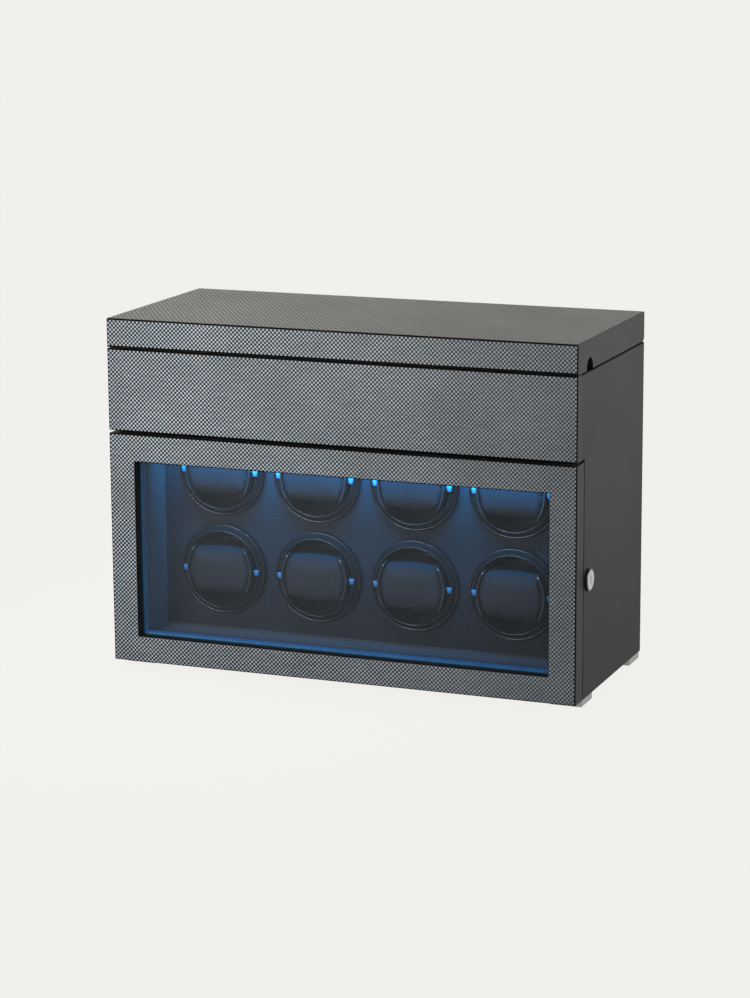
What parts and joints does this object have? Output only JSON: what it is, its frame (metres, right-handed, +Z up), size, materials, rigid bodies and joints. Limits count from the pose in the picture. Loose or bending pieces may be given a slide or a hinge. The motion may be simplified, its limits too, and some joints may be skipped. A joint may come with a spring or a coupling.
{
  "type": "watch winder box",
  "caption": "Upright lidded cabinet with a glass door over rows of motorised turntables that turn watches on pillows, with a lined storage tray under the hinged lid.",
  "frame": {"origin": "on the floor, in the middle of the footprint", "axes": "+X to the right as seen from the front, +Y to the back, +Z up"},
  "size_m": [0.5645, 0.2485, 0.4092],
  "materials": {
    "black_lacquer": "satin",
    "woven_front": "gloss",
    "chamber_lining": "matte",
    "tray_lining": "matte",
    "motor_case": "satin",
    "lamp_metal": "satin",
    "lamp_cover": "matte",
    "screen_glass": "gloss",
    "circuit": "satin",
    "black_plastic": "satin",
    "foot_metal": "satin",
    "hinge_steel": "satin",
    "lock_black": "satin",
    "lock_silver": "polished",
    "clear_glass": "gloss",
    "gloss_black": "gloss",
    "cheek_gloss": "gloss",
    "pillow_cover": "matte"
  },
  "bodies": {
    "cabinet": {"base_panel": "black_lacquer", "side_panel_left": "black_lacquer", "side_panel_right": "black_lacquer", "back_panel": "black_lacquer", "divider_shelf": "black_lacquer", "front_band": "woven_front", "header_rail": "black_lacquer", "chamber_liner_left": "chamber_lining", "chamber_liner_right": "chamber_lining", "chamber_floor": "chamber_lining", "rotor_board": "chamber_lining", "motor_board": "black_lacquer", "gearmotors": "motor_case", "lamp_bar": "lamp_metal", "lamp_diffuser": "lamp_cover", "storage_tray": "tray_lining", "tray_dividers": "tray_lining", "touch_panel": "screen_glass", "control_board": "circuit", "power_inlet": "black_plastic", "feet": "foot_metal", "cabinet_hinge_leaves": "hinge_steel", "hinge_pins": "hinge_steel", "lock_housing": "lock_black", "lock_nut": "hinge_steel"},
    "door": {"door_frame": "woven_front", "door_glass": "clear_glass", "glazing_bead": "lamp_metal", "door_hinge_leaves": "hinge_steel", "lock_strike": "hinge_steel"},
    "lid": {"lid_shell": "woven_front", "lid_lining": "tray_lining", "lid_hinge_leaves": "hinge_steel"},
    "lock": {"lock_plug": "lock_silver", "lock_cam": "hinge_steel", "cam_screw": "hinge_steel"},
    "rotor_1": {"rotor_cup_1": "gloss_black"},
    "pillow_1": {"pillow_frame_1": "cheek_gloss", "pillow_cushion_1": "pillow_cover"},
    "rotor_2": {"rotor_cup_2": "gloss_black"},
    "pillow_2": {"pillow_frame_2": "cheek_gloss", "pillow_cushion_2": "pillow_cover"},
    "rotor_3": {"rotor_cup_3": "gloss_black"},
    "pillow_3": {"pillow_frame_3": "cheek_gloss", "pillow_cushion_3": "pillow_cover"},
    "rotor_4": {"rotor_cup_4": "gloss_black"},
    "pillow_4": {"pillow_frame_4": "cheek_gloss", "pillow_cushion_4": "pillow_cover"},
    "rotor_5": {"rotor_cup_5": "gloss_black"},
    "pillow_5": {"pillow_frame_5": "cheek_gloss", "pillow_cushion_5": "pillow_cover"},
    "rotor_6": {"rotor_cup_6": "gloss_black"},
    "pillow_6": {"pillow_frame_6": "cheek_gloss", "pillow_cushion_6": "pillow_cover"},
    "rotor_7": {"rotor_cup_7": "gloss_black"},
    "pillow_7": {"pillow_frame_7": "cheek_gloss", "pillow_cushion_7": "pillow_cover"},
    "rotor_8": {"rotor_cup_8": "gloss_black"},
    "pillow_8": {"pillow_frame_8": "cheek_gloss", "pillow_cushion_8": "pillow_cover"}
  },
  "joints": [
    {"name": "door_swing", "type": "hinge", "parent": "cabinet", "child": "door", "pos_m": [-0.2775, -0.0981, 0.14295], "axis": [0, 0, -1], "range_deg": [0, 92]},
    {"name": "lid_swing", "type": "hinge", "parent": "cabinet", "child": "lid", "pos_m": [0, 0.1215, 0.3751], "axis": [-1, 0, 0], "range_deg": [0, 92]},
    {"name": "lock_turn", "type": "hinge", "parent": "cabinet", "child": "lock", "pos_m": [0.28, -0.084, 0.1428], "axis": [1, 0, 0], "range_deg": [0, 90]},
    {"name": "rotor_spin_1", "type": "hinge", "parent": "cabinet", "child": "rotor_1", "pos_m": [-0.17892, -0.0425, 0.22383], "axis": [0, 1, 0], "continuous": true},
    {"name": "pillow_pull_1", "type": "slide", "parent": "rotor_1", "child": "pillow_1", "axis": [0, -1, 0], "range_m": [0, 0.042]},
    {"name": "rotor_spin_2", "type": "hinge", "parent": "cabinet", "child": "rotor_2", "pos_m": [-0.05964, -0.0425, 0.22383], "axis": [0, 1, 0], "continuous": true},
    {"name": "pillow_pull_2", "type": "slide", "parent": "rotor_2", "child": "pillow_2", "axis": [0, -1, 0], "range_m": [0, 0.042]},
    {"name": "rotor_spin_3", "type": "hinge", "parent": "cabinet", "child": "rotor_3", "pos_m": [0.05964, -0.0425, 0.22383], "axis": [0, 1, 0], "continuous": true},
    {"name": "pillow_pull_3", "type": "slide", "parent": "rotor_3", "child": "pillow_3", "axis": [0, -1, 0], "range_m": [0, 0.042]},
    {"name": "rotor_spin_4", "type": "hinge", "parent": "cabinet", "child": "rotor_4", "pos_m": [0.17892, -0.0425, 0.22383], "axis": [0, 1, 0], "continuous": true},
    {"name": "pillow_pull_4", "type": "slide", "parent": "rotor_4", "child": "pillow_4", "axis": [0, -1, 0], "range_m": [0, 0.042]},
    {"name": "rotor_spin_5", "type": "hinge", "parent": "cabinet", "child": "rotor_5", "pos_m": [-0.17892, -0.0425, 0.10624], "axis": [0, 1, 0], "continuous": true},
    {"name": "pillow_pull_5", "type": "slide", "parent": "rotor_5", "child": "pillow_5", "axis": [0, -1, 0], "range_m": [0, 0.042]},
    {"name": "rotor_spin_6", "type": "hinge", "parent": "cabinet", "child": "rotor_6", "pos_m": [-0.05964, -0.0425, 0.10624], "axis": [0, 1, 0], "continuous": true},
    {"name": "pillow_pull_6", "type": "slide", "parent": "rotor_6", "child": "pillow_6", "axis": [0, -1, 0], "range_m": [0, 0.042]},
    {"name": "rotor_spin_7", "type": "hinge", "parent": "cabinet", "child": "rotor_7", "pos_m": [0.05964, -0.0425, 0.10624], "axis": [0, 1, 0], "continuous": true},
    {"name": "pillow_pull_7", "type": "slide", "parent": "rotor_7", "child": "pillow_7", "axis": [0, -1, 0], "range_m": [0, 0.042]},
    {"name": "rotor_spin_8", "type": "hinge", "parent": "cabinet", "child": "rotor_8", "pos_m": [0.17892, -0.0425, 0.10624], "axis": [0, 1, 0], "continuous": true},
    {"name": "pillow_pull_8", "type": "slide", "parent": "rotor_8", "child": "pillow_8", "axis": [0, -1, 0], "range_m": [0, 0.042]}
  ]
}
